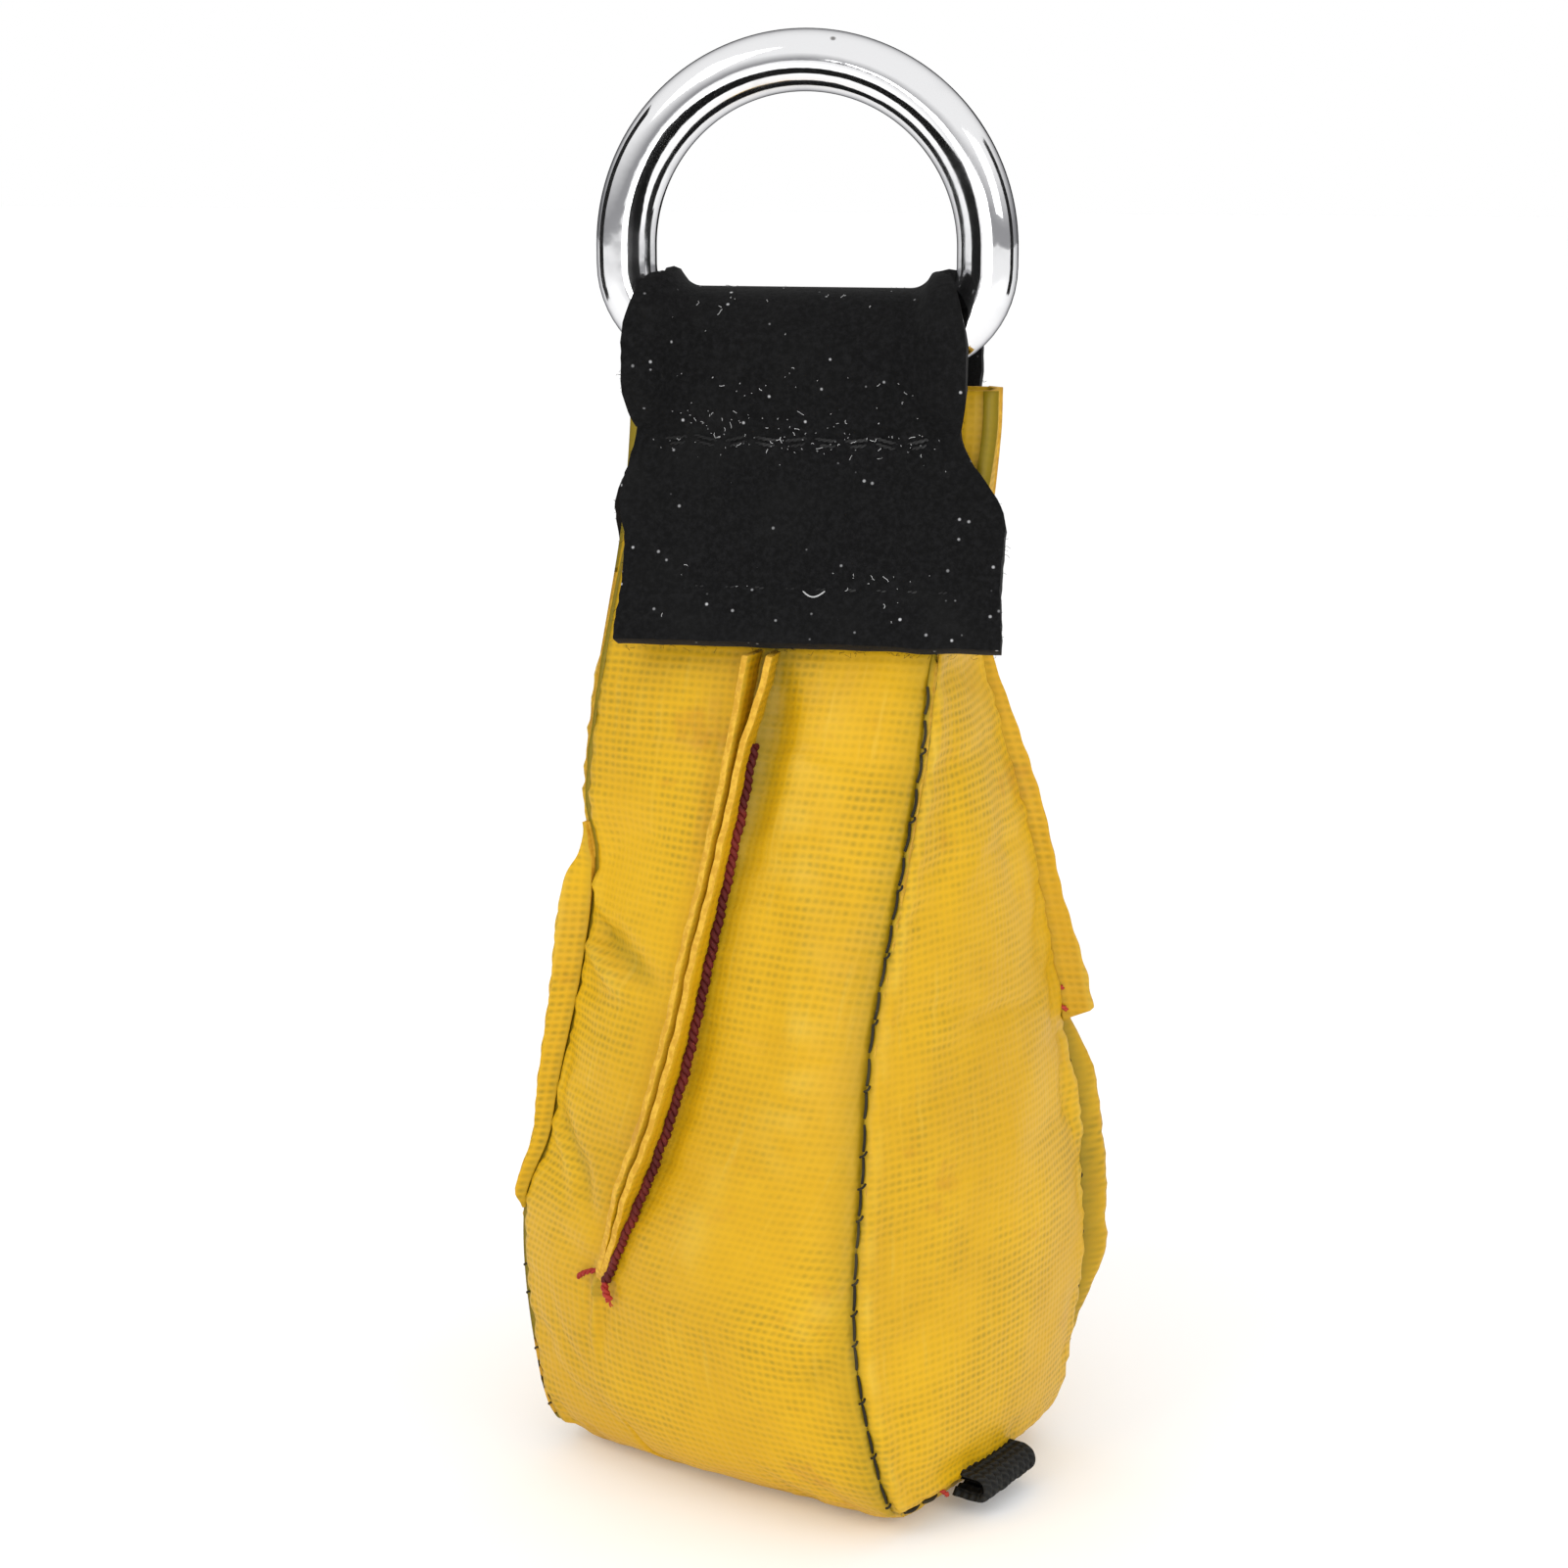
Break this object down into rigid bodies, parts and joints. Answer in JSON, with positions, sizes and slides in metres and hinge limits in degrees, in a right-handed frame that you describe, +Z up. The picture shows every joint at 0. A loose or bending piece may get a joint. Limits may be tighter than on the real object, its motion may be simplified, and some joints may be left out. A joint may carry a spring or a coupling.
{
  "type": "throw line weight bag",
  "caption": "Shot-filled throw weight: a soft coated-cloth bag hung by a webbing loop from a swinging D-ring that takes a throw line.",
  "frame": {"origin": "middle of the flat base that the bag stands on", "axes": "+Z up towards the ring, X along the ring's bar, -Y to the front with the dart that faces the viewer"},
  "size_m": [0.0601, 0.0578, 0.1469],
  "materials": {
    "yellow_cloth": "satin",
    "black_webbing": "matte",
    "ring_steel": "polished",
    "red_thread": "matte",
    "dark_thread": "matte",
    "liner_cloth": "matte",
    "metal_shot": "satin"
  },
  "bodies": {
    "bag": {"strap_web": "black_webbing", "main_panel": "yellow_cloth", "right_gusset": "yellow_cloth", "left_gusset": "yellow_cloth", "front_dart": "yellow_cloth", "back_dart": "yellow_cloth", "right_dart": "yellow_cloth", "left_dart": "yellow_cloth", "front_dart_thread": "red_thread", "back_dart_thread": "red_thread", "right_dart_thread": "red_thread", "left_dart_thread": "red_thread", "front_right_thread": "dark_thread", "back_left_thread": "dark_thread", "back_right_thread": "dark_thread", "front_left_thread": "dark_thread", "right_bottom_thread": "dark_thread", "left_bottom_thread": "dark_thread", "bottom_tab": "black_webbing", "front_upper_stitches": "dark_thread", "back_upper_stitches": "dark_thread", "front_lower_stitches": "dark_thread", "back_lower_stitches": "dark_thread", "inner_liner": "liner_cloth", "shot_fill": "metal_shot"},
    "ring": {"d_ring": "ring_steel"}
  },
  "joints": [
    {"name": "ring_swing", "type": "hinge", "parent": "bag", "child": "ring", "pos_m": [0, 0, 0.1166], "axis": [1, 0, 0], "range_deg": [-110, 110]}
  ]
}
